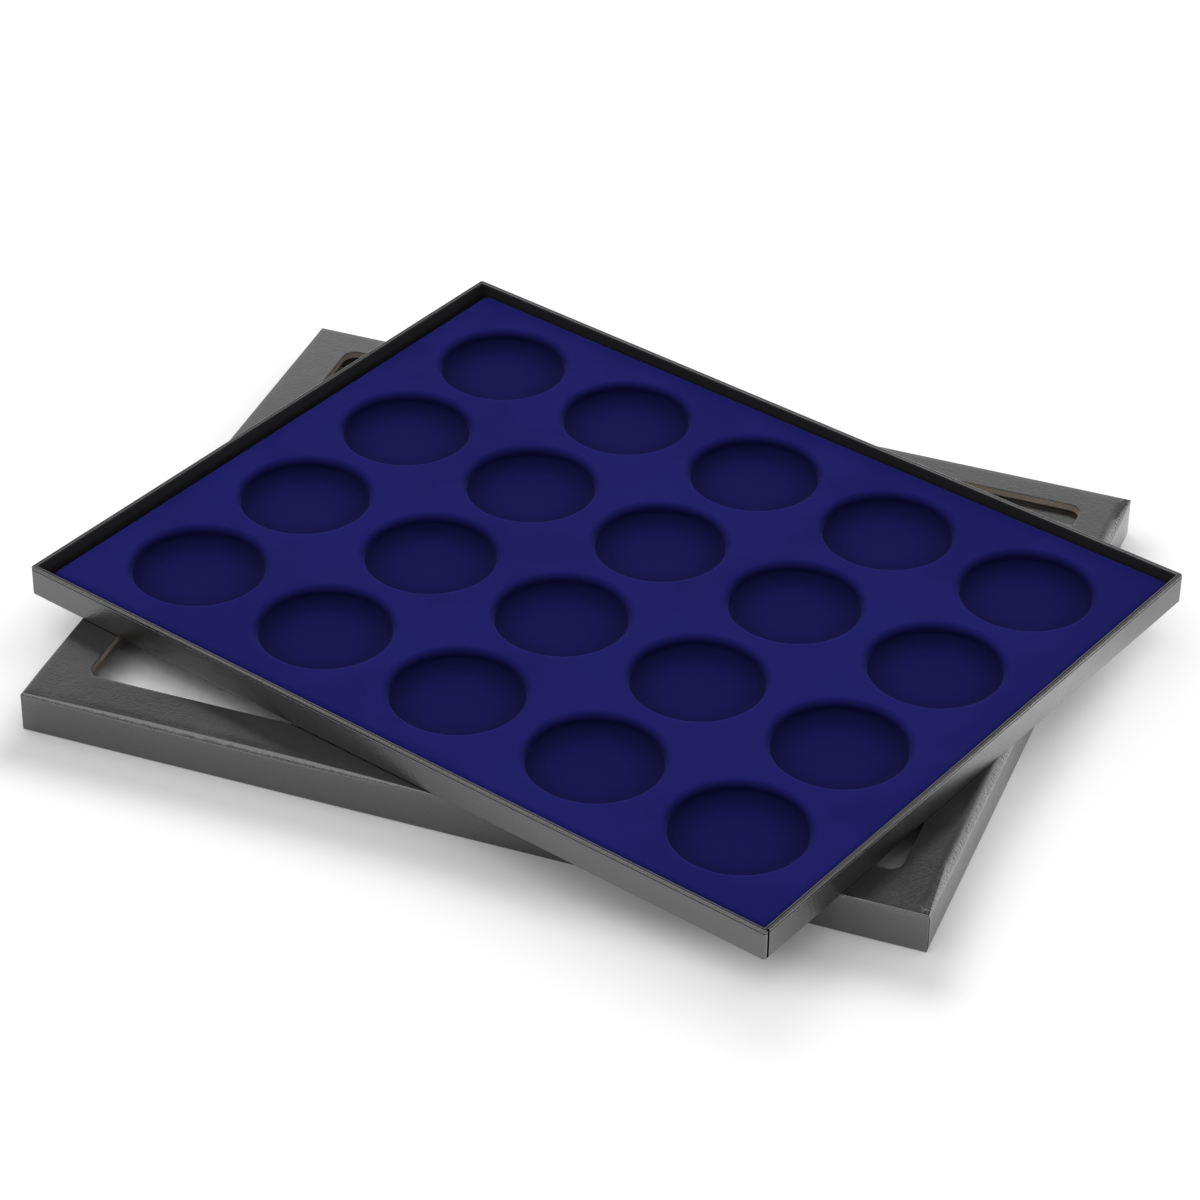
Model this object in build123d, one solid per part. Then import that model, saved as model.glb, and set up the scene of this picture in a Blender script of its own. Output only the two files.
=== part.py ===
"""Coin display case: a window lid with a coin tray lying askew on it, and the tray's flocked insert.

Millimetres. +Z is up, +X runs along the lid's long side and +Y along its short side, away from the front.
The origin is on the table, under the middle of the tray, which is also the middle of the whole outline.
Each half is a rigid box: cut panels of board, taped at the corners and wrapped in one sheet of paper.
"""

from build123d import *
from math import radians, tan
import os

# Sheet materials, shared by both halves
wall_board = 1.5
floor_board = 1.5
top_board = 2.2
paper = 0.2
stay_tape = 0.1
lining_paper = 0.15
floor_lining = 0.2

# Lid
lid_length = 308.0
lid_width = 243.6
lid_height = 14.6
lid_turn_in = 9.0

# Window, by the border left on each side of it
window_border_left = 15.3
window_border_right = 14.7
window_border_front = 17.4
window_border_back = 10.8
window_corner_radius = 4.8

# Clear pane behind the window, held by four strips of tape
pane_sheet = 0.3
pane_corner_radius = 3.0
pane_tape = 0.1
pane_tape_width = 4.0
tape_to_window = 1.0
tape_to_pane_edge = 1.0
lining_to_window = 1.5

# Play between the lid and the tray when the case is shut: on each side, and over the tray's rim
side_clearance = 0.35
shut_clearance = 0.55

# Rounding of the boards under the paper
lid_top_rounding = 1.8
tray_corner_rounding = 0.8
tray_rim_rounding = 0.5
tray_foot_rounding = 0.3

# Corner stays, strips of tape bent round each upright corner under the paper
stay_leg = 12.0
stay_end_gap = 2.0

# Flocked insert, drawn from one sheet, lying loose in the tray against its right and back walls
insert_sheet = 0.6
flock = 0.3
insert_drop = 3.1
insert_side_gap = 1.3
insert_gap_right = 0.5
insert_gap_back = 0.3
insert_draft = 6.0
insert_corner_radius = 4.5
insert_edge_radius = 2.0

# Round recesses for coins in their capsules, as many as fit between the margins
recess_diameter = 45.0
recess_margin_x = 13.55
recess_margin_y = 12.4
recess_least_gap = 6.0
recess_draft = 3.0
recess_rim_radius = 2.0
recess_floor_radius = 1.2

# How the two halves lie on each other
lid_offset_x = -4.54
lid_offset_y = 0.80
tray_turn = -17.24

cut_past = 1.0

wall = paper + wall_board + paper
under_top_board = lid_height - paper - top_board
pane_high = under_top_board - pane_tape
pane_low = pane_high - pane_sheet
lining_low = pane_low - lining_paper

window_length = lid_length - window_border_left - window_border_right
window_width = lid_width - window_border_front - window_border_back
window_x = (window_border_left - window_border_right) / 2
window_y = (window_border_front - window_border_back) / 2
window_place = Pos(window_x, window_y, 0)
pane_overlap = tape_to_window + pane_tape_width + tape_to_pane_edge

tray_length = lid_length - 2 * (wall + side_clearance)
tray_width = lid_width - 2 * (wall + side_clearance)
tray_height = lining_low - shut_clearance
tray_floor_level = paper + floor_board
insert_seat = tray_floor_level + floor_lining
insert_height = tray_height - insert_drop - insert_seat
insert_length = tray_length - 2 * (wall + insert_side_gap)
insert_width = tray_width - 2 * (wall + insert_side_gap)


def block(length, width, low, high):
    """Upright block round the middle, between two levels."""
    return Pos(0, 0, low) * Box(length, width, high - low, align=(Align.CENTER, Align.CENTER, Align.MIN))


def rounded_block(length, width, low, high, corner):
    """The same with rounded upright corners."""
    return Pos(0, 0, low) * extrude(RectangleRounded(length, width, corner), high - low)


def top_edges(solid):
    return solid.faces().sort_by(Axis.Z)[-1].edges()


def bottom_edges(solid):
    return solid.faces().sort_by(Axis.Z)[0].edges()


def wall_boards(length, width, low, high):
    """Front, back, left and right panels of a box's walls; front and back run the full length."""
    between = width - 2 * wall_board
    panels = {}
    for side, way in (("front", -1), ("back", 1)):
        panels[side] = Pos(0, way * (width - wall_board) / 2, 0) * block(length, wall_board, low, high)
    for side, way in (("left", -1), ("right", 1)):
        panels[side] = Pos(way * (length - wall_board) / 2, 0, 0) * block(wall_board, between, low, high)
    return panels


def corner_stays(wrapped, bare, length, width):
    """Four angles of tape: what lies between the wrapped and the bare boards, near each upright corner."""
    skin = wrapped - bare
    reach = block(2 * stay_leg, 2 * stay_leg, -cut_past, lid_height + cut_past)
    stays = {}
    for depth, y_way in (("front", -1), ("back", 1)):
        for side, x_way in (("left", -1), ("right", 1)):
            stays[f"{depth}_{side}"] = skin & Pos(x_way * length / 2, y_way * width / 2, 0) * reach
    return stays


# Lid


def lid_form(inset):
    """The lid's outside as a solid block, each face moved in by inset, with its rounded top edge."""
    form = block(lid_length - 2 * inset, lid_width - 2 * inset, inset, lid_height - inset)
    board_rounding = min(lid_top_rounding, top_board)
    return fillet(top_edges(form), board_rounding + paper - inset)


def window_cut(grow, low, high):
    """Block the shape of the window opening, grown sideways by grow."""
    size = (window_length + 2 * grow, window_width + 2 * grow)
    return window_place * rounded_block(*size, low, high, window_corner_radius + grow)


def lid_parts():
    board_length = lid_length - 2 * paper
    board_width = lid_width - 2 * paper
    inside_length = board_length - 2 * wall_board
    inside_width = board_width - 2 * wall_board
    window = window_cut(0, under_top_board - cut_past, lid_height + cut_past)

    parts = {}
    above = block(lid_length, lid_width, under_top_board, lid_height)
    parts["lid_top_board"] = (lid_form(paper) & above) - window
    for side, panel in wall_boards(board_length, board_width, paper, under_top_board).items():
        parts[f"lid_{side}_board"] = panel

    stay_levels = (paper + stay_end_gap, under_top_board - stay_end_gap)
    wrapped = block(board_length + 2 * stay_tape, board_width + 2 * stay_tape, *stay_levels)
    bare = block(board_length, board_width, 0, lid_height)
    for corner, stay in corner_stays(wrapped, bare, board_length, board_width).items():
        parts[f"lid_stay_{corner}"] = stay

    hollow = block(inside_length, inside_width, lid_turn_in, under_top_board)
    hollow += block(inside_length - 2 * paper, inside_width - 2 * paper, -cut_past, lid_turn_in)
    cover = lid_form(0) - hollow - window
    for piece in parts.values():
        cover -= piece
    parts["lid_cover_paper"] = cover

    pane_length = window_length + 2 * pane_overlap
    pane_width = window_width + 2 * pane_overlap
    pane = rounded_block(pane_length, pane_width, pane_low, pane_high, pane_corner_radius)
    parts["window_pane"] = window_place * pane

    strip_x = (window_length + pane_tape_width) / 2 + tape_to_window
    strip_y = (window_width + pane_tape_width) / 2 + tape_to_window
    long_strip = block(2 * strip_x + pane_tape_width, pane_tape_width, pane_high, under_top_board)
    short_strip = block(pane_tape_width, 2 * strip_y - pane_tape_width, pane_high, under_top_board)
    parts["pane_tape_front"] = window_place * Pos(0, -strip_y, 0) * long_strip
    parts["pane_tape_back"] = window_place * Pos(0, strip_y, 0) * long_strip
    parts["pane_tape_left"] = window_place * Pos(-strip_x, 0, 0) * short_strip
    parts["pane_tape_right"] = window_place * Pos(strip_x, 0, 0) * short_strip

    parts["lid_lining_frame"] = lining_frame(inside_length, inside_width, pane_length, pane_width)
    return parts


def lining_frame(inside_length, inside_width, pane_length, pane_width):
    """Black paper frame glued under the board, stepping down over the pane's edge."""
    shelf = block(inside_length, inside_width, under_top_board - lining_paper, under_top_board)
    step_length = pane_length + 2 * lining_paper
    step_width = pane_width + 2 * lining_paper
    step = window_place * block(step_length, step_width, lining_low, under_top_board)
    pocket = window_place * block(pane_length, pane_width, pane_low, under_top_board + cut_past)
    sight = window_cut(lining_to_window, lining_low - cut_past, under_top_board + cut_past)
    return shelf + step - pocket - sight


# Tray


def tray_parts():
    board_length = tray_length - 2 * paper
    board_width = tray_width - 2 * paper
    inside_length = tray_length - 2 * wall
    inside_width = tray_width - 2 * wall
    rim_level = tray_height - paper
    rim_rounding = min(tray_rim_rounding, wall_board / 3)

    parts = {}
    floor = rounded_block(board_length, board_width, paper, tray_floor_level, tray_corner_rounding)
    parts["tray_floor_board"] = fillet(bottom_edges(floor), tray_foot_rounding)

    outline = rounded_block(board_length, board_width, paper, rim_level, tray_corner_rounding)
    for side, panel in wall_boards(board_length, board_width, tray_floor_level, rim_level).items():
        along = Axis.X if side in ("front", "back") else Axis.Y
        rim = panel.edges().filter_by(along).sort_by(Axis.Z)[-2:]
        parts[f"tray_{side}_board"] = fillet(rim, rim_rounding) & outline

    stay_levels = (tray_floor_level + stay_end_gap / 2, rim_level - stay_end_gap)
    taped_size = (board_length + 2 * stay_tape, board_width + 2 * stay_tape)
    wrapped = rounded_block(*taped_size, *stay_levels, tray_corner_rounding + stay_tape)
    for corner, stay in corner_stays(wrapped, outline, board_length, board_width).items():
        parts[f"tray_stay_{corner}"] = stay

    cover = rounded_block(tray_length, tray_width, 0, tray_height, tray_corner_rounding + paper)
    cover = fillet(bottom_edges(cover), tray_foot_rounding + paper)
    cover -= block(inside_length, inside_width, tray_floor_level, tray_height + cut_past)
    cover = fillet(top_edges(cover), rim_rounding + paper)
    for piece in parts.values():
        cover -= piece
    parts["tray_cover_paper"] = cover

    parts["tray_floor_lining"] = block(inside_length, inside_width, tray_floor_level, insert_seat)
    return parts


# Insert


def count_between(span, size, gap):
    """How many things of this size fit in the span, with at least this gap between them."""
    return int((span + gap) // (size + gap))


def recess_places():
    """Middle of each coin recess: the outer ones on the margins, the others evenly between."""
    span_x = insert_length - 2 * recess_margin_x
    span_y = insert_width - 2 * recess_margin_y
    columns = count_between(span_x, recess_diameter, recess_least_gap)
    rows = count_between(span_y, recess_diameter, recess_least_gap)
    pitch_x = (span_x - recess_diameter) / (columns - 1)
    pitch_y = (span_y - recess_diameter) / (rows - 1)
    return GridLocations(pitch_x, pitch_y, columns, rows)


def insert_form(inset, base):
    """Solid block under the insert's surface, moved in by inset, from base up, recesses included."""
    high = insert_height - inset
    lean = tan(radians(insert_draft))
    foot_size = (insert_length - 2 * inset - 2 * base * lean, insert_width - 2 * inset - 2 * base * lean)
    head_size = (insert_length - 2 * inset - 2 * high * lean, insert_width - 2 * inset - 2 * high * lean)
    corner = insert_corner_radius - inset
    foot = Pos(0, 0, base) * RectangleRounded(*foot_size, corner - base * lean)
    head = Pos(0, 0, high) * RectangleRounded(*head_size, corner - high * lean)
    form = loft([foot, head], ruled=True)
    form = fillet(top_edges(form), insert_edge_radius - inset)

    floor = insert_sheet + flock - inset
    depth = high - floor
    wall_lean = tan(radians(recess_draft))
    mouth_radius = recess_diameter / 2 + inset
    bottom_radius = mouth_radius - depth * wall_lean
    cutter_radius = mouth_radius + cut_past * wall_lean
    seat = (Align.CENTER, Align.CENTER, Align.MIN)
    cutter = Pos(0, 0, floor) * Cone(bottom_radius, cutter_radius, depth + cut_past, align=seat)
    for place in recess_places():
        form -= place * cutter
    form = fillet(recess_rings(form)[-1], recess_rim_radius - inset)
    return fillet(recess_rings(form)[0], recess_floor_radius + inset)


def recess_rings(form):
    """The full circles on the form, in groups from the lowest to the highest."""
    return form.edges().filter_by(GeomType.CIRCLE).filter_by(lambda edge: edge.is_closed).group_by(Axis.Z)


def insert_parts():
    outside = insert_form(0, 0)
    sheet_top = insert_form(flock, 0)
    underside = insert_form(flock + insert_sheet, -cut_past)
    return {"insert_flock": outside - sheet_top, "insert_shell": sheet_top - underside}


# Assembly

lid_place = Pos(lid_offset_x, lid_offset_y, 0)
tray_place = Pos(0, 0, lid_height) * Rot(0, 0, tray_turn)
insert_x = insert_side_gap - insert_gap_right
insert_y = insert_side_gap - insert_gap_back
insert_place = tray_place * Pos(insert_x, insert_y, insert_seat)


def main():
    os.makedirs("parts", exist_ok=True)
    groups = ((lid_place, lid_parts()), (tray_place, tray_parts()), (insert_place, insert_parts()))
    for place, parts in groups:
        for node, shape in parts.items():
            export_step(place * shape, f"parts/{node}.step")


main()
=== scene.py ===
"""Coin display case: a window lid on the table, and on it a tray with a flocked coin insert, askew."""

from math import atan2, cos, hypot, radians, sin

import bpy
from mathutils import Matrix, Vector, noise


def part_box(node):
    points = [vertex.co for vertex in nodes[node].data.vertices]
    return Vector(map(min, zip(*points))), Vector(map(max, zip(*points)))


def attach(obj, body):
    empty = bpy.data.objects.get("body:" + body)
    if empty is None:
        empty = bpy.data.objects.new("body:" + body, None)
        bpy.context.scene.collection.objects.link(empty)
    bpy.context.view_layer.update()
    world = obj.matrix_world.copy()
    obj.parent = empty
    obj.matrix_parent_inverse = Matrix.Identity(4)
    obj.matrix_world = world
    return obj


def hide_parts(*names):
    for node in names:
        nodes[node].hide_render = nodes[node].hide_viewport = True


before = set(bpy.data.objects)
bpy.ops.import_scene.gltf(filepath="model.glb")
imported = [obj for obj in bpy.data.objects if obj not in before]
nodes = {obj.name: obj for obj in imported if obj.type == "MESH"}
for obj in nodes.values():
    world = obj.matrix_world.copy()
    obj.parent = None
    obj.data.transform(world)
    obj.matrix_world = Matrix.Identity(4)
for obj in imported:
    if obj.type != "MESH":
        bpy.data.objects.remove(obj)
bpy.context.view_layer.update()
mm = 0.001

# Board panels
# Grey-brown millboard, pressed from waste paper in thin plies and cut to size with a guillotine.
# The panels are glued edge to edge; only the cut round the window is left bare.


class Wire:
    """A socket of a finish; sums on it add the Math nodes."""

    def __init__(self, finish, socket):
        self.finish = finish
        self.socket = socket

    def combine(self, operation, first, second):
        return self.finish.node("ShaderNodeMath", {"operation": operation}, {0: first, 1: second})

    def __add__(self, other):
        return self.combine("ADD", self, other)

    __radd__ = __add__

    def __sub__(self, other):
        return self.combine("SUBTRACT", self, other)

    def __rsub__(self, other):
        return self.combine("SUBTRACT", other, self)

    def __mul__(self, other):
        return self.combine("MULTIPLY", self, other)

    __rmul__ = __mul__

    def spread(self, low, high, to_low=0.0, to_high=1.0):
        """The value from low to high stretched to another range, and held there."""
        inputs = {0: self, 1: low, 2: high, 3: to_low, 4: to_high}
        return self.finish.node("ShaderNodeMapRange", {"interpolation_type": "SMOOTHSTEP"}, inputs)


class Finish:
    """The look of a material, or of the world, built node by node."""

    def __init__(self, name, kind="materials"):
        self.block = getattr(bpy.data, kind).new(name)
        self.block.use_nodes = True
        self.tree = self.block.node_tree
        self.tree.nodes.clear()

    def node(self, kind, settings=None, inputs=None, output=0):
        """Adds a node of this kind; each of its sockets takes a value or a wire."""
        made = self.tree.nodes.new(kind)
        for name, value in (settings or {}).items():
            setattr(made, name, value)
        for name, value in (inputs or {}).items():
            if isinstance(value, Wire):
                self.tree.links.new(value.socket, made.inputs[name])
            else:
                made.inputs[name].default_value = value
        return Wire(self, made.outputs[output]) if made.outputs else None

    def place(self):
        return self.node("ShaderNodeTexCoord", output="Object")

    def stretched(self, scale):
        return self.node("ShaderNodeMapping", {}, {"Vector": self.place(), "Scale": scale})

    def noise(self, size, detail=2.0, roughness=0.5, vector=None, output="Fac"):
        vector = vector or self.place()
        inputs = {"Vector": vector, "Scale": 1 / size, "Detail": detail, "Roughness": roughness}
        return self.node("ShaderNodeTexNoise", {}, inputs, output)

    def vector(self, operation, *inputs, output="Vector"):
        inputs = dict(enumerate(inputs))
        return self.node("ShaderNodeVectorMath", {"operation": operation}, inputs, output)

    def along(self, vector, direction):
        """How far a vector reaches in a direction."""
        return self.vector("DOT_PRODUCT", vector, direction, output="Value")

    def axis(self, vector, letter):
        return self.node("ShaderNodeSeparateXYZ", {}, {0: vector}, letter)

    def shade(self, name):
        """A value that the mesh holds at each of its points."""
        return self.node("ShaderNodeAttribute", {"attribute_name": name}, output="Fac")

    def mix(self, factor, first, second):
        inputs = {0: factor, 6: first, 7: second}
        return self.node("ShaderNodeMix", {"data_type": "RGBA"}, inputs, output=2)

    def bump(self, height, depth, strength=1.0):
        inputs = {"Height": height, "Distance": depth, "Strength": strength}
        return self.node("ShaderNodeBump", {}, inputs)

    def coat(self, inputs):
        return self.node("ShaderNodeBsdfPrincipled", {}, inputs)

    def surface(self, shader, kind="ShaderNodeOutputMaterial"):
        self.node(kind, {}, {"Surface": shader})
        return self.block


def dress(node, material):
    """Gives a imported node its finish."""
    mesh = nodes[node].data
    mesh.materials.clear()
    mesh.materials.append(material)


ply_thickness = 0.28 * mm
fibre_length = 1.1 * mm
ply_depth = 0.08 * mm
board_light = (0.35, 0.295, 0.235, 1)
board_dark = (0.175, 0.147, 0.115, 1)

board = Finish("greyboard")
fibres = board.stretched((1 / fibre_length, 1 / fibre_length, 1 / ply_thickness))
plies = board.noise(1.0, detail=3.0, roughness=0.6, vector=fibres)
specks = board.noise(0.35 * mm, detail=4.0, roughness=0.7)
clouds = board.noise(9 * mm)
tone = plies * 0.55 + specks * 0.3 + clouds * 0.3
pulp = board.mix(tone.spread(0.38, 0.78), board_dark, board_light)
pulp_bump = board.bump(plies + specks * 0.5, ply_depth)
greyboard = board.surface(
    board.coat({"Base Color": pulp, "Roughness": 0.95, "Specular IOR Level": 0.15, "Normal": pulp_bump})
)
for node in nodes:
    if node.endswith("_board"):
        dress(node, greyboard)

# Corner stays
# Gummed kraft tape bent round each upright corner, which holds the wall boards together while the glue
# dries. The cover paper hides it.

kraft_dark, kraft_light = (0.36, 0.25, 0.14, 1), (0.46, 0.34, 0.21, 1)

stay = Finish("stay_tape")
mottle = stay.noise(0.6 * mm, detail=4.0, roughness=0.7).spread(0.3, 0.7)
kraft = stay.mix(mottle, kraft_dark, kraft_light)
stay_tape = stay.surface(stay.coat({"Base Color": kraft, "Roughness": 0.8, "Specular IOR Level": 0.3}))
for node in nodes:
    if "_stay_" in node:
        dress(node, stay_tape)

# Lid cover paper
# One sheet of black paper, embossed with a fine leather grain and lightly varnished, glued over the lid's
# top, down its sides and round under the lower edge. It is cut flush with the board round the window.

lid_low, lid_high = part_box("lid_cover_paper")
lid_middle = (lid_low + lid_high) / 2
lid_half_length = (lid_high.x - lid_low.x) / 2
lid_half_width = (lid_high.y - lid_low.y) / 2
lid_top = lid_high.z
wall = 1.9 * mm
paper_sheet = 0.2 * mm
glue_line = 0.02 * mm
lid_corner, fold_corner, least_corner = 0.25 * mm, 0.3 * mm, 0.15 * mm
lid_fold, crisp_fold = 2.4 * mm, 0.2
lid_foot = 0.45 * mm
lid_turn_in = 9 * mm
window_left, window_right = 15.3 * mm, 14.7 * mm
window_front, window_back = 17.4 * mm, 10.8 * mm
window_corner = 4.8 * mm
seam_depth = 0.05 * mm
seam_steps = ((0.08, 0.0), (0.18, 1.0), (1.0, 1.0), (1.15, 0.0), (1.5, 0.0))
side_steps, corner_steps, fold_steps = 40, 6, 12


def grained_paper():
    """Black leather-grained paper: pebbles with fine creases between, dull where it is turned in."""
    black, worn_black = (0.0065, 0.0065, 0.007, 1), (0.009425, 0.009425, 0.01015, 1)
    # The gap black is near-black for the seams' gaps and for painted shade lines along the tray's rim
    # crease and wall groove
    dull_black, gap_and_shade_black = (0.021, 0.021, 0.0215, 1), (0.004, 0.004, 0.004, 1)
    pebble, pebble_stretch = 1.0 * mm, 1.4 * mm
    pebble_depth, tooth_depth, fold_tooth_depth, warp_depth = 0.036, 0.003, 0.014, 0.015

    paper = Finish("black_grained_paper")
    place = paper.place()
    waver = paper.noise(pebble_stretch, vector=place, output="Color")
    shifted = paper.vector("MULTIPLY_ADD", waver, (pebble / 2, pebble / 2, pebble / 2), place)
    cells = paper.node(
        "ShaderNodeTexVoronoi",
        {"feature": "SMOOTH_F1"},
        {"Vector": shifted, "Scale": 1 / pebble, "Smoothness": 0.4, "Randomness": 1.0},
        output="Distance",
    )
    pebbles = 1 - cells.spread(0.05, 0.75)
    tooth = paper.noise(0.3 * mm, detail=3.0, roughness=0.6)
    warp = paper.noise(2.6 * mm)
    worn = paper.noise(17 * mm, detail=3.0, roughness=0.6).spread(0.35, 0.7)

    facing = paper.node("ShaderNodeNewGeometry", output="Normal")
    on_inside = paper.along(facing, place).spread(-25 * mm, -70 * mm)
    upright = paper.axis(facing, "Z")
    on_side = upright.spread(0.1, 0)
    on_top = upright.spread(0.9, 0.99)
    on_fold = upright.spread(0.05, 0.5) * (1 - on_top)
    height = pebbles * pebble_depth * (1 + 1.6 * on_fold - 0.75 * on_top)
    height = height + tooth * (tooth_depth + fold_tooth_depth * on_fold) + warp * warp_depth
    height = height + paper.shade("crown")
    sheet = paper.coat(
        {
            "Base Color": paper.mix(pebbles * 0.5 + worn * 0.3, black, worn_black),
            "Roughness": 0.22 - 0.06 * pebbles + 0.05 * worn + 0.1 * on_side,
            "IOR": 1.8,
            "Specular IOR Level": 0.85,
            "Normal": paper.bump(height, mm),
        }
    )
    turned_in = paper.coat({"Base Color": dull_black, "Roughness": 0.8, "Specular IOR Level": 0.15})
    gap_and_shade = paper.coat({"Base Color": gap_and_shade_black, "Roughness": 1.0, "Specular IOR Level": 0.0})
    paper_face = paper.node("ShaderNodeMixShader", {}, {0: on_inside, 1: sheet, 2: turned_in})
    # The seam shade holds the seams' hairline gaps and painted shade lines along the tray's rim crease and
    # wall groove
    seamed = paper.node("ShaderNodeMixShader", {}, {0: paper.shade("seam"), 1: paper_face, 2: gap_and_shade})
    return paper.surface(seamed)


black_paper = grained_paper()


def rounded_loop(middle, half_length, half_width, corner, level, seam=0.0, painted_line_shade=0.0):
    """Points (x, y, level, seam share) of a rounded rectangle, anticlockwise from its front right corner.

    A seam sinks a hairline where the paper's flap ends, just round the right side's front corner and the
    left side's back corner. A line is a share of painted shade in the seams' near-black, kept all the way
    round a crease or groove.
    """
    pivots = []
    for x_way, y_way in ((1, -1), (1, 1), (-1, 1), (-1, -1)):
        x, y = middle[0] + x_way * (half_length - corner), middle[1] + y_way * (half_width - corner)
        pivots.append(Vector((x, y)))
    points = []
    for number, pivot in enumerate(pivots):
        for step in range(corner_steps + 1):
            angle = radians(90 * (number - 1 + step / corner_steps))
            outward = Vector((cos(angle), sin(angle)))
            points.append((pivot + corner * outward, 0.0))
        first, last = pivot + corner * outward, pivots[(number + 1) % 4] + corner * outward
        run = last - first
        along = run.normalized()
        sunk = seam if number in (0, 2) else 0.0
        for offset, share in seam_steps:
            place = first + along * offset * mm - outward * share * sunk
            points.append((place, share if sunk else 0.0))
        points += [(first + run * step / side_steps, 0.0) for step in range(1, side_steps)]
        points += [(last - along * offset * mm, 0.0) for offset, _ in reversed(seam_steps)]
    return [(x, y, level, max(share, painted_line_shade)) for (x, y), share in points]


def new_piece(name, points, faces, material, **shades):
    """Smooth mesh in the scene, with a value at each of its points for each shade."""
    mesh = bpy.data.meshes.new(name)
    mesh.from_pydata([tuple(point) for point in points], [], faces)
    mesh.polygons.foreach_set("use_smooth", [True] * len(mesh.polygons))
    mesh.materials.append(material)
    for shade, values in shades.items():
        mesh.attributes.new(shade, "FLOAT", "POINT").data.foreach_set("value", values)
    mesh.update()
    piece = bpy.data.objects.new(name, mesh)
    bpy.context.scene.collection.objects.link(piece)
    return piece


def cover_sheet(name, loops, turn=0.0, lift=0.0, closed_below=False, **shades):
    """Paper through loops of equal count, turned and lifted to its place, a little uneven by hand."""
    turned = Matrix.Rotation(radians(turn), 4, "Z")
    points = [turned @ Vector((x, y, z + lift)) for loop in loops for x, y, z, share in loop]
    uneven, wave = 0.02 * mm, 26 * mm
    samples = ((Vector((0, 0, 0)), 1), (Vector((7.3, 0, 0)), 1), (Vector((0, 5.1, 0)), 0.6))
    for point in points:
        wobble = [share * noise.noise(point / wave + apart) for apart, share in samples]
        point += uneven * Vector(wobble)
    count = len(loops[0])
    faces = []
    for row in range(len(loops) - 1):
        for step in range(count):
            here, ahead = row * count + step, row * count + (step + 1) % count
            faces.append((here, ahead, ahead + count, here + count))
    if closed_below:
        faces.append(tuple(reversed(range(count))))
    # Each point's seam share, which also carries the painted shade lines
    seam = [share for loop in loops for x, y, z, share in loop]
    return new_piece(name, points, faces, black_paper, seam=seam, **shades)


def rounding(radius, start, end, steps=5):
    """Offsets (outward, up) from a corner's pivot over part of a turn, in degrees from level."""
    turns = [radians(start + (end - start) * step / steps) for step in range(steps + 1)]
    return [(radius * cos(turn), radius * sin(turn)) for turn in turns]


def lid_loop(outward, level, seam=0.0):
    half_length, half_width = lid_half_length + outward, lid_half_width + outward
    corner = max(lid_corner + outward, least_corner)
    return rounded_loop(lid_middle, half_length, half_width, corner, level, seam)


def window_loop(share, level):
    """Loop on the lid's top between its folded edge, at 0, and the window, at 1."""
    borders = (window_left, window_right, window_front, window_back)
    left, right, front, back = [lid_fold + share * (border - lid_fold) for border in borders]
    middle = (lid_middle.x + (left - right) / 2, lid_middle.y + (front - back) / 2)
    half_length = lid_half_length - (left + right) / 2
    half_width = lid_half_width - (front + back) / 2
    corner = fold_corner + share * (window_corner - fold_corner)
    return rounded_loop(middle, half_length, half_width, corner, level)


def from_edges(x, y):
    """Distances from the lid's left, right, front and back edges."""
    return x - lid_low.x, lid_high.x - x, y - lid_low.y, lid_high.y - y


def fold_share(x, y):
    """Share of the widest fold: wide on the right side and at the front's left end, crisp elsewhere."""
    from_left, from_right, from_front, from_back = from_edges(x, y)
    nearest = min(from_left, from_right, from_front, from_back)
    if nearest == from_back:
        wider = 0
    elif nearest == from_left:
        wider = 0.18 * max(0, 1 - from_front / (12 * mm))
    elif nearest == from_front:
        widening, narrowing = 0.3 + from_left / (60 * mm), (150 * mm - from_left) / (50 * mm)
        wider = 0.6 * max(0, min(1, widening, narrowing))
    else:
        wider = 0.8 * min(1, from_front / (25 * mm), from_back / (15 * mm))
    return crisp_fold + wider


def creased(loop):
    """The loop with its fold drawn in to the share that the paper has at each place."""
    near = 1.01 * lid_fold
    drawn = []
    for x, y, z, sunk in loop:
        from_left, from_right, from_front, from_back = from_edges(x, y)
        share = fold_share(x, y)
        if min(from_left, from_right) < near:
            on_left = from_left < from_right
            x = lid_low.x + share * from_left if on_left else lid_high.x - share * from_right
        if min(from_front, from_back) < near:
            on_front = from_front < from_back
            y = lid_low.y + share * from_front if on_front else lid_high.y - share * from_back
        drawn.append((x, y, lid_top - share * (lid_top - z), sunk))
    return drawn


def puff(x, y):
    """How much the paper stands off where its fold is wide, most on the right side."""
    from_right, from_front = from_edges(x, y)[1:3]
    return (fold_share(x, y) - crisp_fold) * (0.3 if from_front < from_right else 1.9)


# Up the inside, round the lower edge and up the sides
lid_loops = [lid_loop(-wall + glue_line, level) for level in (lid_turn_in, 6 * mm, 3 * mm, 0.9 * mm)]
squeeze = (wall / 2 - glue_line) / lid_foot
for out, up in rounding(lid_foot, 180, 360, 8):
    lid_loops.append(lid_loop(-wall / 2 + out * squeeze, lid_foot + up))
lid_loops += [lid_loop(0, level * mm, seam_depth) for level in (1.2, 3, 5, 7, 9, 11)]
lid_loops.append(lid_loop(0, lid_top - lid_fold - 0.35 * mm, seam_depth))

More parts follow.
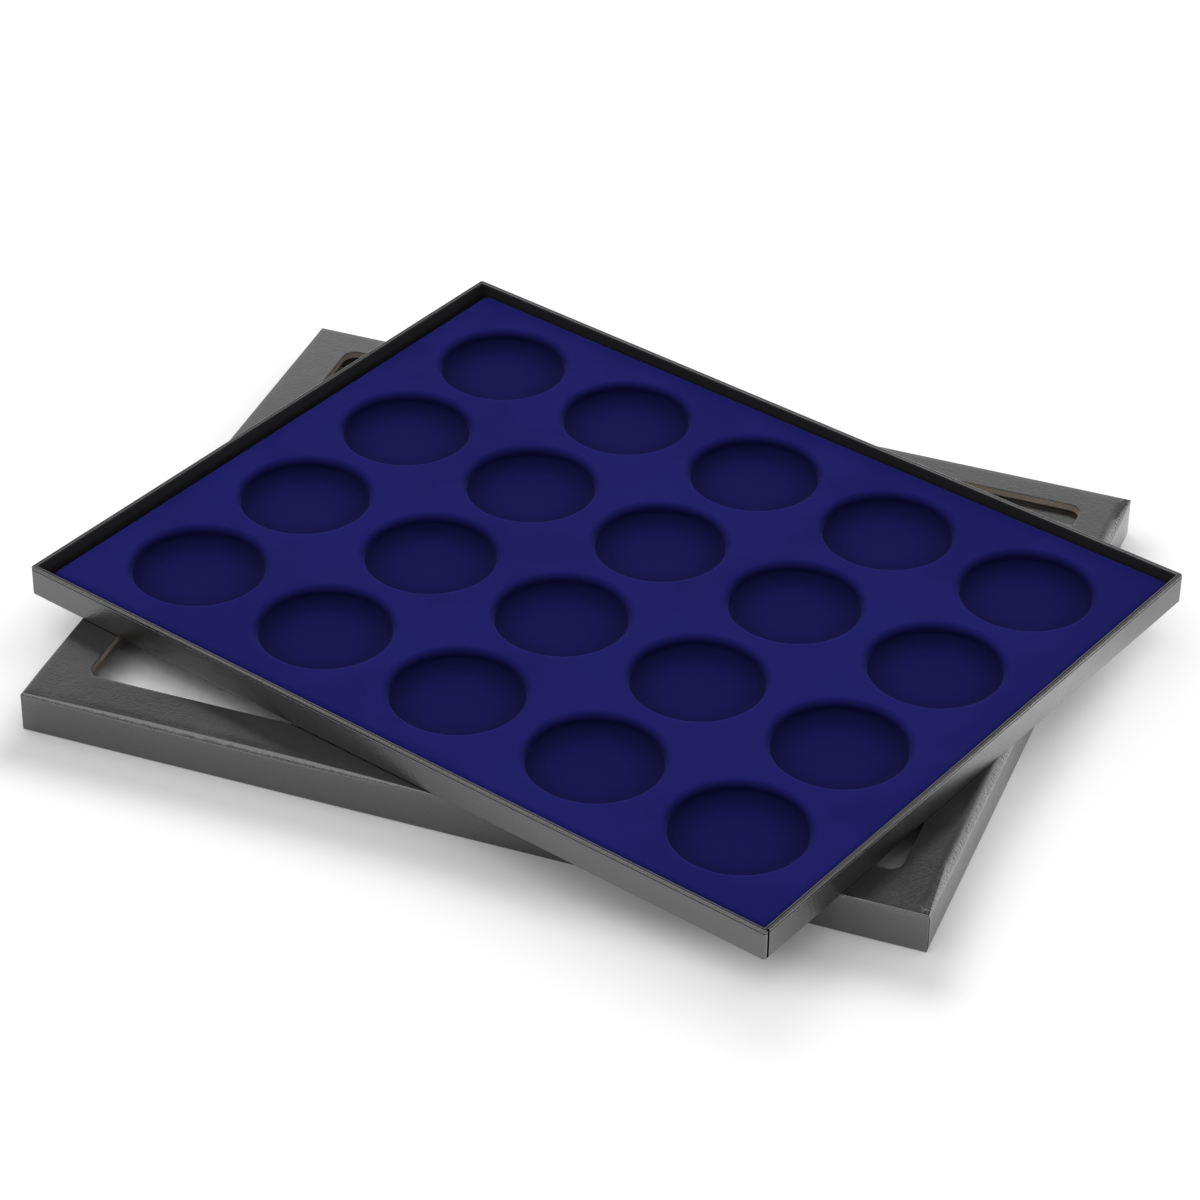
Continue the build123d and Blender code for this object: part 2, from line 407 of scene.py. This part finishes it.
# Over the fold and across the border to the window's edge; a crown is the height in mm by which the paper
# puffs up there, for the shading alone
puff_slope, puff_share, border_run = 0.3, 0.2, 12.5
puff_rise = puff_slope * puff_share * border_run / 2
crowns = [-puff_rise - puff_slope] * len(lid_loops)
for number, (out, up) in enumerate(rounding(lid_fold, 0, 90, fold_steps)):
    fading_seam = seam_depth * (1 - number / fold_steps)
    lid_loops.append(creased(lid_loop(out - lid_fold, lid_top - lid_fold + up, fading_seam)))
    to_top = min(1, 2 * (1 - number / fold_steps))
    crowns.append(-puff_rise - puff_slope * 2 * (to_top - to_top**2 / 2))
for share in (0.025, 0.05, 0.08, 0.11, 0.15, 0.2, 0.35, 0.5, 0.65, 0.82, 0.94, 0.985):
    lid_loops.append(window_loop(share, lid_top))
    crowns.append(-puff_rise * max(0, 1 - share / puff_share) ** 2)
for share, drop in ((0.997, 0.02 * mm), (1.0, 0.07 * mm), (1.0, paper_sheet)):
    lid_loops.append(window_loop(share, lid_top - drop))
    crowns.append(0)

lid_crown = [height * puff(x, y) for height, loop in zip(crowns, lid_loops) for x, y, z, share in loop]
lid_cover = cover_sheet("lid_cover", lid_loops, crown=lid_crown)
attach(lid_cover, "lid")
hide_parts("lid_cover_paper")

# Window pane and its tape
# Clear stiff film, cut larger than the opening and stuck under the top board with double-sided tape along
# its four edges. Seen at a flat angle it mirrors the room.

film_tint = (0.93, 0.94, 0.95, 1)
tape_dark, tape_light = (0.5, 0.49, 0.45, 1), (0.62, 0.61, 0.56, 1)

film = Finish("clear_film")
facing_away = film.node("ShaderNodeLayerWeight", {}, {"Blend": 0.5}, output="Facing")
squared = facing_away * facing_away
mirrored = 0.06 + 0.94 * squared * squared * facing_away
clear_film = film.surface(
    film.coat({"Base Color": film_tint, "Metallic": 1.0, "Roughness": 0.07, "Alpha": mirrored})
)
dress("window_pane", clear_film)

tape = Finish("pane_tape")
tape_tone = tape.mix(tape.noise(2 * mm, detail=3.0).spread(0.35, 0.65), tape_dark, tape_light)
pane_tape = tape.surface(tape.coat({"Base Color": tape_tone, "Roughness": 0.45}))
for side in ("front", "back", "left", "right"):
    dress(f"pane_tape_{side}", pane_tape)

# Linings
# Plain matt black paper. A frame glued under the lid's top board hides the pane's edge and its tape, and a
# sheet covers the tray's floor under the insert.

lining_dark, lining_light = (0.008, 0.008, 0.0085, 1), (0.022, 0.022, 0.023, 1)

lining = Finish("lining_paper")
lining_tone = lining.mix(lining.noise(0.5 * mm, detail=5.0, roughness=0.7), lining_dark, lining_light)
lining_bump = lining.bump(lining.noise(0.3 * mm, detail=4.0), 0.03 * mm)
lining_coat = lining.coat({"Base Color": lining_tone, "Roughness": 0.75, "Normal": lining_bump})
lining_paper = lining.surface(lining_coat)
dress("lid_lining_frame", lining_paper)
dress("tray_floor_lining", lining_paper)

# Tray cover paper
# The same grained paper, glued round the tray's floor and walls, folded over the rim and down the inside.
# A shallow crease runs along the rim where the sheet turns, and a fine groove along the wall just below;
# painted shade draws both as dark lines.
# A flap ends just round two of the corners.

tray_turn = -17.24
tray_half_length = 303.5 * mm / 2
tray_half_width = 239.1 * mm / 2
tray_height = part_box("tray_cover_paper")[1].z - lid_top
tray_corner = 1.0 * mm
tray_floor = 1.9 * mm
foot_round = 0.5 * mm
rim_outer_round, rim_inner_round = 0.5 * mm, 0.6 * mm
# Painted shade: the rim crease and the wall groove take these shares of the seams' near-black
rim_crease, rim_crease_shade = -0.88 * mm, 0.6
crease_depth, crease_width = 0.11 * mm, 0.26 * mm
groove_depth, painted_groove_shade = 0.07 * mm, 0.75


def tray_loop(outward, level, seam=0.0, painted_line_shade=0.0):
    half_length, half_width = tray_half_length + outward, tray_half_width + outward
    corner = max(tray_corner + outward, least_corner)
    return rounded_loop((0, 0), half_length, half_width, corner, level, seam, painted_line_shade)


under = [(-8 * mm, 0), (-2 * mm, 0), (-foot_round - 0.3 * mm, 0)]
for out, up in rounding(foot_round, -90, 0):
    under.append((out - foot_round, foot_round + up, seam_depth / 2))
face = [(0, level * mm, seam_depth) for level in (0.9, 2.5, 4.5, 6.5, 8.5)]
face += [(0, tray_height - drop * mm, seam_depth) for drop in (1.5, 1.3)]
# The groove's loops carry painted shade, a dark line along the wall
face += [(-groove_depth, tray_height - drop * mm, seam_depth, painted_groove_shade) for drop in (1.18, 0.9)]
face.append((0, tray_height - 0.78 * mm, seam_depth))
for out, up in rounding(rim_outer_round, 0, 90):
    face.append((out - rim_outer_round, tray_height - rim_outer_round + up, seam_depth))
rim = [(rim_crease + crease_width, tray_height - crease_depth * 0.1, seam_depth / 2)]
# The crease's middle loops carry painted shade, a dark line along the rim
for way in (1, -1):
    rim.append((rim_crease + way * crease_width / 3, tray_height - crease_depth, 0, rim_crease_shade))
for out, up in rounding(rim_inner_round, 90, 180):
    rim.append((-wall + rim_inner_round + out, tray_height - rim_inner_round + up))
inside = [(-wall, level) for level in (tray_height - 1.6 * mm, 7 * mm, 4.5 * mm, 2.6 * mm, tray_floor)]

tray_loops = [tray_loop(*spot) for spot in under + face + rim + inside]
tray_cover = cover_sheet("tray_cover", tray_loops, tray_turn, lid_top, closed_below=True)
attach(tray_cover, "tray")
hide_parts("tray_cover_paper")

# Insert
# A thin plastic sheet drawn over a mould into round recesses, with short blue flock blown on and glued to
# it. It lies loose in the tray; its blue is darker in the recesses, and painted shade darkens it into each
# crease.

insert_x, insert_y = 0.8 * mm, 1.0 * mm
insert_seat = lid_top + 1.9 * mm
insert_height = 6.1 * mm
insert_half_length = 297.1 * mm / 2
insert_half_width = 232.7 * mm / 2
skirt_lean = 0.64 * mm
edge_round = 2.0 * mm
flat_corner = 1.0 * mm
columns, rows = 5, 4
pitch_x, pitch_y = 56.25 * mm, 54.3 * mm
recess_radius, wall_radius = 22.5 * mm, 22.36 * mm
recess_floor = 0.9 * mm
rim_softness, rim_rise = 2.3 * mm, 2.5 * mm
crease_reach, crease_rise = 6.0 * mm, 2.6 * mm
shade_start, shade_run = 9 * mm, 12.5 * mm
cell_steps = 26
flat_half_length = insert_half_length - skirt_lean - edge_round
flat_half_width = insert_half_width - skirt_lean - edge_round


def flocked_blue():
    """Short deep blue pile: brushed streaks on the flat, darker in recesses, with painted shade darkest in
    creases.
    """
    flat_dark, flat_light = (0.0098, 0.0099, 0.116, 1), (0.0132, 0.0131, 0.145, 1)
    deep_dark, deep_light = (0.0066, 0.0064, 0.078, 1), (0.0092, 0.009, 0.1, 1)
    # Painted shade: the dark blue of the crease round each recess floor and up its wall
    crease_blue = (0.0045, 0.0045, 0.04, 1)

    flock = Finish("blue_flock")
    level = flock.axis(flock.place(), "Z")
    on_flat = level.spread(insert_seat + 1.2 * mm, insert_seat + insert_height - 0.2 * mm)
    brushed = flock.noise(38 * mm, detail=3.0, roughness=0.55).spread(0.35, 0.68)
    pile = flock.noise(0.32 * mm, detail=3.0, roughness=0.65)
    flat_blue = flock.mix(brushed * 0.6 + pile * 0.4, flat_dark, flat_light)
    deep_blue = flock.mix(pile, deep_dark, deep_light)
    # The painted crease shade darkens the blue into each recess's crease and up its wall
    blue = flock.mix(flock.shade("crease"), flock.mix(on_flat, deep_blue, flat_blue), crease_blue)
    return flock.surface(
        flock.coat(
            {
                "Base Color": blue,
                "Roughness": 0.9,
                "Specular IOR Level": 0.05,
                "Sheen Weight": 0.7,
                "Sheen Roughness": 0.35,
                "Sheen Tint": (0.06, 0.065, 0.4, 1),
                "Normal": flock.bump(pile + brushed * 0.2, 0.12 * mm, 0.6),
            }
        )
    )


def recess_profile():
    """(radius, level, share of painted crease shade) from the middle of a recess to the flat round it."""
    spots = [(radius * mm, recess_floor) for radius in (3, 6, 9, 11, 13, 14.8)]
    for turn in range(0, 85, 12):
        angle = radians(turn)
        radius = wall_radius - crease_reach + crease_reach * sin(angle)
        spots.append((radius, recess_floor + crease_rise * (1 - cos(angle))))
    # Painted shade grows from the floor out into the crease
    profile = []
    for radius, level in spots:
        past_start = max(0, min(1, (radius - shade_start) / shade_run))
        profile.append((radius, level, past_start**1.6))
    # Painted shade up the recess wall, fading out at the rim
    for turn in (6, 14, 22, 30, 40, 50, 60, 70, 80, 90):
        angle = radians(turn)
        radius = wall_radius + rim_softness * (1 - cos(angle))
        profile.append((radius, insert_height - rim_rise * (1 - sin(angle)), (1 - sin(angle)) ** 0.7))
    profile.append((recess_radius + rim_softness * 1.05, insert_height, 0.0))
    return profile


def cell_border(left, right, front, back, corner_at):
    """Points round a recess's share of the flat top, closer together at the insert's rounded corners."""
    corners = ((right, front), (right, back), (left, back), (left, front))
    points = []
    for number in range(4):
        start, end = corners[number - 1], corners[number]
        for step in range(cell_steps):
            share = step / cell_steps
            if start == corner_at:
                share = share**2
            if end == corner_at:
                share = 1 - (1 - share) ** 2
            points.append([a + (b - a) * share for a, b in zip(start, end)])
    if corner_at is not None:
        x_way, y_way = [1 if end > 0 else -1 for end in corner_at]
        x_pivot = corner_at[0] - flat_corner * x_way
        y_pivot = corner_at[1] - flat_corner * y_way
        for point in points:
            past_x, past_y = point[0] - x_pivot, point[1] - y_pivot
            if past_x * x_way > 0 and past_y * y_way > 0:
                shrink = flat_corner / hypot(past_x, past_y)
                point[:] = x_pivot + past_x * shrink, y_pivot + past_y * shrink
    return points


insert_points, insert_faces, known, creases = [], [], {}, {}


def insert_point(x, y, z):
    """Number of the vertex at this place, shared by the cells that meet there."""
    key = (round(x * 1e7), round(y * 1e7), round(z * 1e7))
    if key not in known:
        known[key] = len(insert_points)
        insert_points.append((x, y, z))
    return known[key]


def recess_cell(middle_x, middle_y, border):
    """One recess and its share of the flat, in rings from the middle of its floor out to the border."""
    profile = recess_profile()
    rings = []
    for radius, level, share in profile:
        ring = []
        for x, y in border:
            angle = atan2(y, x)
            around_x, around_y = radius * cos(angle), radius * sin(angle)
            ring.append(insert_point(middle_x + around_x, middle_y + around_y, level))
            creases[ring[-1]] = share
        rings.append(ring)
    rim_radius = profile[-1][0]
    for share in (0.12, 0.35, 0.65, 0.88, 1.0):
        ring = []
        for x, y in border:
            reach = hypot(x, y)
            scale = (rim_radius + (reach - rim_radius) * share) / reach
            ring.append(insert_point(middle_x + x * scale, middle_y + y * scale, insert_height))
        rings.append(ring)
    hub = insert_point(middle_x, middle_y, recess_floor)
    for step in range(len(border)):
        ahead = (step + 1) % len(border)
        insert_faces.append((hub, rings[0][step], rings[0][ahead]))
        for inner, outer in zip(rings, rings[1:]):
            insert_faces.append((inner[step], outer[step], outer[ahead], inner[ahead]))


for row in range(rows):
    for column in range(columns):
        middle_x = (column - (columns - 1) / 2) * pitch_x
        middle_y = (row - (rows - 1) / 2) * pitch_y
        left = -flat_half_length - middle_x if column == 0 else -pitch_x / 2
        right = flat_half_length - middle_x if column == columns - 1 else pitch_x / 2
        front = -flat_half_width - middle_y if row == 0 else -pitch_y / 2
        back = flat_half_width - middle_y if row == rows - 1 else pitch_y / 2
        corner_at = None
        if column in (0, columns - 1) and row in (0, rows - 1):
            corner_at = (left if column == 0 else right, front if row == 0 else back)
        recess_cell(middle_x, middle_y, cell_border(left, right, front, back, corner_at))


def skirt_point(number, out, down):
    """Vertex straight out and down from one on the flat's border."""
    x, y, z = insert_points[number]
    x_pivot = max(-flat_half_length + flat_corner, min(flat_half_length - flat_corner, x))
    y_pivot = max(-flat_half_width + flat_corner, min(flat_half_width - flat_corner, y))
    away = Vector((x - x_pivot, y - y_pivot)).normalized()
    return insert_point(x + away.x * out, y + away.y * out, z + down)


skirt_steps = [(out, up - edge_round) for out, up in rounding(edge_round, 90, 0, 6)[1:]]
skirt_steps.append((edge_round + skirt_lean * 0.4, -0.45 * insert_height))
skirt_steps.append((edge_round + skirt_lean, -insert_height))
loops = [zip(corners, corners[1:] + corners[:1]) for corners in insert_faces]
face_edges = dict.fromkeys(edge for loop in loops for edge in loop)
for start, end in face_edges:
    if (end, start) in face_edges:
        continue
    upper = (start, end)
    for out, down in skirt_steps:
        lower = (skirt_point(start, out, down), skirt_point(end, out, down))
        insert_faces.append((upper[1], upper[0], lower[0], lower[1]))
        upper = lower

turned = Matrix.Rotation(radians(tray_turn), 4, "Z")
sag_depth, sag_wave = 0.12 * mm, 45 * mm
settled = []
for x, y, z in insert_points:
    sag = sag_depth * noise.noise(Vector((x, y, 0)) / sag_wave) * (z / insert_height)
    settled.append(turned @ Vector((x + insert_x, y + insert_y, z + sag + insert_seat)))
# Each point's share of painted crease shade, for the flock's colour
insert_crease = [creases.get(number, 0.0) for number in range(len(settled))]
insert = new_piece("flocked_insert", settled, insert_faces, flocked_blue(), crease=insert_crease)
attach(insert, "insert")
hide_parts("insert_flock")

plastic_dark, plastic_light = (0.015, 0.015, 0.03, 1), (0.022, 0.022, 0.045, 1)

shell = Finish("formed_plastic")
shell_tone = shell.mix(shell.noise(30 * mm, detail=3.0), plastic_dark, plastic_light)
shell_bump = shell.bump(shell.noise(0.9 * mm, detail=3.0), 0.03 * mm)
shell_coat = shell.coat({"Base Color": shell_tone, "Roughness": 0.42, "Normal": shell_bump})
formed_plastic = shell.surface(shell_coat)
dress("insert_shell", formed_plastic)

# Studio
# A plain pale table under a wide soft light from above, with a bright low wall behind, dimmer ones at the
# sides and a dark front, which the paper and the film mirror. The camera stands where the photograph's did.

# The table glows white, with a painted shadow round the case, a painted reflection on its right and a
# painted pool of light under the window
view_right, view_back = Vector((0.94, 0.342, 0)), Vector((-0.342, 0.94, 0))
tray_front = (sin(radians(tray_turn)), -cos(radians(tray_turn)), 0)
table_half, open_table = 6.0, 0.5
table_light, table_under_lid = (0.62, 0.62, 0.62, 1), (0.95, 0.95, 0.95, 1)
white = (1, 1, 1, 1)

table = Finish("table_with_painted_shadow")


def beyond(middle, half_length, half_width, turn):
    """Distance on the table from a turned rectangle's border, 0 inside it."""
    place = table.vector("SUBTRACT", table.place(), tuple(middle))
    turned_back = {"Vector": place, "Angle": radians(-turn)}
    place = table.node("ShaderNodeVectorRotate", {"rotation_type": "Z_AXIS"}, turned_back)
    place = table.vector("SUBTRACT", table.vector("ABSOLUTE", place), (half_length, half_width, 0))
    return table.vector("LENGTH", table.vector("MAXIMUM", place, (0, 0, 0)), output="Value")


ray_kinds = ("Is Camera Ray", "Is Glossy Ray", "Is Transmission Ray")
seen = sum(table.node("ShaderNodeLightPath", output=kind) for kind in ray_kinds)
in_gloss = table.node("ShaderNodeLightPath", output="Is Glossy Ray")
lid_place = Vector((lid_middle.x, lid_middle.y, 0))
shadow_shift = -12 * mm * view_back
beside_lid = beyond(lid_place, lid_half_length - wall, lid_half_width - wall, 0).spread(0, wall)
past_lid = beyond(lid_place + shadow_shift, lid_half_length, lid_half_width, 0)
past_tray = beyond(shadow_shift, tray_half_length, tray_half_width, tray_turn)
blend = 20 * mm
away = table.node("ShaderNodeMath", {"operation": "SMOOTH_MIN"}, {0: past_lid, 1: past_tray, 2: blend})
rightward = table.along(table.place(), tuple(view_right))

# The table round the case glows, with a painted shadow darker close to it, as the camera and the paper see
# it
painted_shadow_glow = 0.1 + 0.26 * past_lid.spread(0, 25 * mm) + 0.14 * rightward.spread(80 * mm, 125 * mm)
glow_with_painted_shade_and_light = seen * beside_lid * (painted_shadow_glow + (open_table - painted_shadow_glow) * away.spread(-4 * mm, 28 * mm))
# Painted reflection: the table glows brighter to the right for glossy rays alone, so the paper's
# right-facing sides mirror more light
painted_reflection_right = rightward.spread(0, 190 * mm) * rightward.spread(175 * mm, 210 * mm, 0.9, 0.15)
glow_with_painted_shade_and_light = glow_with_painted_shade_and_light + in_gloss * beside_lid * past_lid.spread(-10 * mm, 25 * mm) * painted_reflection_right

# A painted pool of light on the table under the window, where the tray leaves the lid open, fading into the
# tray's painted shadow
clear_of_tray = table.along(table.place(), tray_front).spread(103 * mm, 126 * mm)
inward = table.axis(table.place(), "X").spread(-147 * mm, -133 * mm)
glow_with_painted_shade_and_light = glow_with_painted_shade_and_light + (seen - 0.7 * in_gloss) * (1 - beside_lid) * (clear_of_tray * inward * 0.3)
# The glow carries the painted shadow, the painted reflection and the painted pool of light
glow = table.node("ShaderNodeEmission", {}, {"Color": white, "Strength": glow_with_painted_shade_and_light})
table_tone = table.mix(beside_lid, table_under_lid, table_light)
matt = table.node("ShaderNodeBsdfDiffuse", {}, {"Color": table_tone})
table_with_painted_shadow = table.surface(table.node("ShaderNodeAddShader", {}, {0: glow, 1: matt}))

table_ways = ((-1, -1), (1, -1), (1, 1), (-1, 1))
table_corners = [(table_half * x_way, table_half * y_way, 0) for x_way, y_way in table_ways]
floor = new_piece("table", table_corners, [(0, 1, 2, 3)], table_with_painted_shadow)

studio = Finish("studio", "worlds")
facing = studio.node("ShaderNodeTexCoord", output="Generated")
height = studio.axis(facing, "Z")
to_back = studio.along(facing, tuple(view_back))
to_right = studio.along(facing, tuple(view_right))
back_wall = to_back.spread(0.1, 0.7) * height.spread(0.62, 0.51)
right_wall = to_right.spread(0.3, 0.8) * height.spread(0.6, 0.25)
left_wall = to_right.spread(-0.3, -0.8) * height.spread(0.75, 0.4)
front_wall = to_back.spread(-0.2, -0.7) * height.spread(0.85, 0.4)
softbox = studio.along(facing, (-0.1, -0.18, 0.978)).spread(0.6, 0.9)
walls = 0.98 * back_wall + 0.8 * right_wall + 0.4 * left_wall + 0.12 * front_wall
light = 0.15 + walls + 1.27 * softbox
seen_directly = studio.node("ShaderNodeLightPath", output="Is Camera Ray")
strength = light + seen_directly * (1 - light)
sky = studio.node("ShaderNodeBackground", {}, {"Color": white, "Strength": strength})
bpy.context.scene.world = studio.surface(sky, "ShaderNodeOutputWorld")

azimuth, elevation, roll = radians(19.983), radians(35.402), radians(0.960)
distance = 1.40309
target = Vector((-0.008801, 0.016810, 0))
backward = Vector((sin(azimuth) * cos(elevation), -cos(azimuth) * cos(elevation), sin(elevation)))
level_right = Vector((cos(azimuth), sin(azimuth), 0))
level_up = backward.cross(level_right)
right = cos(roll) * level_right + sin(roll) * level_up
up = cos(roll) * level_up - sin(roll) * level_right
camera_data = bpy.data.cameras.new("camera")
camera_data.sensor_width = 36
camera_data.lens = 122.95
camera = bpy.data.objects.new("camera", camera_data)
camera_turn = Matrix((right, up, backward)).transposed().to_4x4()
camera.matrix_world = Matrix.Translation(target + backward * distance) @ camera_turn
bpy.context.scene.collection.objects.link(camera)
bpy.context.scene.camera = camera
bpy.context.scene.view_settings.view_transform = "Standard"
